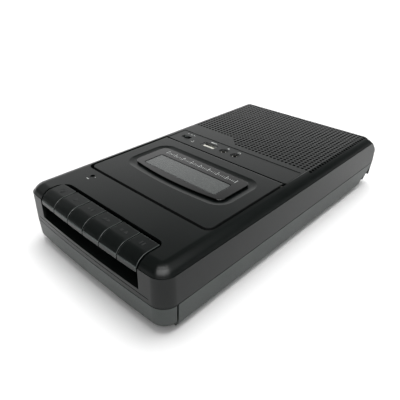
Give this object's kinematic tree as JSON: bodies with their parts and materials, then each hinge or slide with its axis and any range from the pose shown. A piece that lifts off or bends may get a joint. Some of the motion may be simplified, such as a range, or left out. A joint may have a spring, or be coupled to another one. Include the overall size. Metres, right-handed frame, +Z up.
{
  "type": "cassette player",
  "caption": "Flat portable cassette player with piano keys along its front, a hinged window lid, a speaker grille behind it and a pull-out carry handle.",
  "frame": {"origin": "middle of the footprint, on the surface that the four feet stand on", "axes": "+X to the right seen from the keys, +Y from the keys to the loudspeaker, +Z up"},
  "size_m": [0.144, 0.2628, 0.0478],
  "materials": {
    "housing_plastic": "fine-textured black ABS",
    "dark_plastic": "smooth black plastic",
    "gloss_black": "gloss black acrylic",
    "clear_plastic": "clear acrylic",
    "steel": "plated pressed steel",
    "brass": "turned brass",
    "rubber": "matt rubber",
    "cone_paper": "black paper pulp",
    "board": "lacquered circuit board",
    "white_nylon": "natural white nylon"
  },
  "bodies": {
    "housing": {"upper_housing": "housing_plastic", "lower_housing": "housing_plastic", "foot_front_left": "rubber", "foot_front_right": "rubber", "foot_rear_left": "rubber", "foot_rear_right": "rubber", "screw_front_left": "steel", "screw_front_right": "steel", "screw_rear_left": "steel", "screw_rear_right": "steel", "battery_contacts_front": "steel", "battery_contacts_rear": "steel", "key_shaft": "steel", "key_spring": "steel", "lid_hinge_pin": "steel", "deck_plate": "steel", "capstan_bearing": "brass", "drive_motor": "steel", "drive_belt": "rubber", "speaker_basket": "steel", "speaker_magnet": "steel", "speaker_cone": "cone_paper", "speaker_dust_cap": "cone_paper", "main_circuit_board": "board", "source_switch_body": "steel", "usb_socket_shell": "steel", "usb_tongue": "white_nylon", "microphone_jack": "dark_plastic", "earphone_jack": "dark_plastic", "volume_control": "dark_plastic", "microphone_capsule": "steel", "power_inlet": "dark_plastic"},
    "handle": {"carry_handle": "housing_plastic"},
    "battery_door": {"battery_cover": "housing_plastic"},
    "lid": {"cassette_lid": "housing_plastic", "window_bezel": "gloss_black", "clear_window": "clear_plastic", "lid_pressure_spring": "steel"},
    "supply_reel": {"supply_spindle": "white_nylon"},
    "takeup_reel": {"takeup_spindle": "white_nylon"},
    "idler": {"idler_wheel": "rubber"},
    "capstan": {"capstan_shaft": "steel", "flywheel": "brass"},
    "pulley": {"motor_pulley": "brass"},
    "pinch_lever": {"pinch_arm": "steel"},
    "pinch_wheel": {"pinch_roller": "rubber"},
    "heads": {"head_bridge": "steel", "record_play_head": "steel", "erase_head": "steel"},
    "source_switch": {"source_switch_knob": "dark_plastic"},
    "volume": {"volume_wheel": "dark_plastic"},
    "key_record_body": {"key_record": "housing_plastic"},
    "key_play_body": {"key_play": "housing_plastic"},
    "key_rewind_body": {"key_rewind": "housing_plastic"},
    "key_forward_body": {"key_forward": "housing_plastic"},
    "key_stop_body": {"key_stop": "housing_plastic"},
    "key_pause_body": {"key_pause": "housing_plastic"}
  },
  "joints": [
    {"name": "handle_slide", "type": "slide", "parent": "housing", "child": "handle", "axis": [0, -1, 0], "range_m": [0, 0.035]},
    {"name": "battery_cover_hinge", "type": "hinge", "parent": "housing", "child": "battery_door", "pos_m": [0, 0.0436, 0.001], "axis": [-1, 0, 0], "range_deg": [0, 75]},
    {"name": "lid_hinge", "type": "hinge", "parent": "housing", "child": "lid", "pos_m": [0, -0.005, 0.045], "axis": [-1, 0, 0], "range_deg": [0, 65]},
    {"name": "supply_spin", "type": "hinge", "parent": "housing", "child": "supply_reel", "pos_m": [-0.02125, -0.0395, 0.036], "axis": [0, 0, 1], "continuous": true},
    {"name": "takeup_spin", "type": "hinge", "parent": "housing", "child": "takeup_reel", "pos_m": [0.02125, -0.0395, 0.036], "axis": [0, 0, 1], "continuous": true},
    {"name": "idler_spin", "type": "hinge", "parent": "housing", "child": "idler", "pos_m": [0.00925, -0.02767, 0.033], "axis": [0, 0, 1], "continuous": true},
    {"name": "capstan_spin", "type": "hinge", "parent": "housing", "child": "capstan", "pos_m": [0.032, -0.065, 0.02], "axis": [0, 0, 1], "continuous": true},
    {"name": "pulley_spin", "type": "hinge", "parent": "housing", "child": "pulley", "pos_m": [-0.038, -0.063, 0.01], "axis": [0, 0, 1], "continuous": true},
    {"name": "pinch_arm_swing", "type": "hinge", "parent": "housing", "child": "pinch_lever", "pos_m": [0.044, -0.07625, 0.033], "axis": [0, 0, -1], "range_deg": [0, 15]},
    {"name": "pinch_roller_spin", "type": "hinge", "parent": "pinch_lever", "child": "pinch_wheel", "pos_m": [0.032, -0.07625, 0.037], "axis": [0, 0, 1], "continuous": true},
    {"name": "head_bridge_slide", "type": "slide", "parent": "housing", "child": "heads", "axis": [0, 1, 0], "range_m": [0, 0.004]},
    {"name": "source_switch_slide", "type": "slide", "parent": "housing", "child": "source_switch", "axis": [1, 0, 0], "range_m": [-0.0022, 0.0022]},
    {"name": "volume_turn", "type": "hinge", "parent": "housing", "child": "volume", "pos_m": [-0.0614, 0.0243, 0.036], "axis": [0, 0, 1], "range_deg": [-135, 135]},
    {"name": "key_record_press", "type": "hinge", "parent": "housing", "child": "key_record_body", "pos_m": [0, -0.095, 0.038], "axis": [1, 0, 0], "range_deg": [0, 8], "stiffness_Nm_per_rad": 0.4, "springref_deg": -5.73},
    {"name": "key_play_press", "type": "hinge", "parent": "housing", "child": "key_play_body", "pos_m": [0, -0.095, 0.038], "axis": [1, 0, 0], "range_deg": [0, 8], "stiffness_Nm_per_rad": 0.4, "springref_deg": -5.73},
    {"name": "key_rewind_press", "type": "hinge", "parent": "housing", "child": "key_rewind_body", "pos_m": [0, -0.095, 0.038], "axis": [1, 0, 0], "range_deg": [0, 8], "stiffness_Nm_per_rad": 0.4, "springref_deg": -5.73},
    {"name": "key_forward_press", "type": "hinge", "parent": "housing", "child": "key_forward_body", "pos_m": [0, -0.095, 0.038], "axis": [1, 0, 0], "range_deg": [0, 8], "stiffness_Nm_per_rad": 0.4, "springref_deg": -5.73},
    {"name": "key_stop_press", "type": "hinge", "parent": "housing", "child": "key_stop_body", "pos_m": [0, -0.095, 0.038], "axis": [1, 0, 0], "range_deg": [0, 8], "stiffness_Nm_per_rad": 0.4, "springref_deg": -5.73},
    {"name": "key_pause_press", "type": "hinge", "parent": "housing", "child": "key_pause_body", "pos_m": [0, -0.095, 0.038], "axis": [1, 0, 0], "range_deg": [0, 8], "stiffness_Nm_per_rad": 0.4, "springref_deg": -5.73}
  ],
  "couplings": [
    {"joint": "head_bridge_slide", "follows": "key_play_press", "m_per_rad": 0.0284},
    {"joint": "pinch_arm_swing", "follows": "key_play_press", "ratio": 1.85},
    {"joint": "pulley_spin", "follows": "capstan_spin", "ratio": 5.25},
    {"joint": "idler_spin", "follows": "takeup_spin", "ratio": -1.5385}
  ]
}
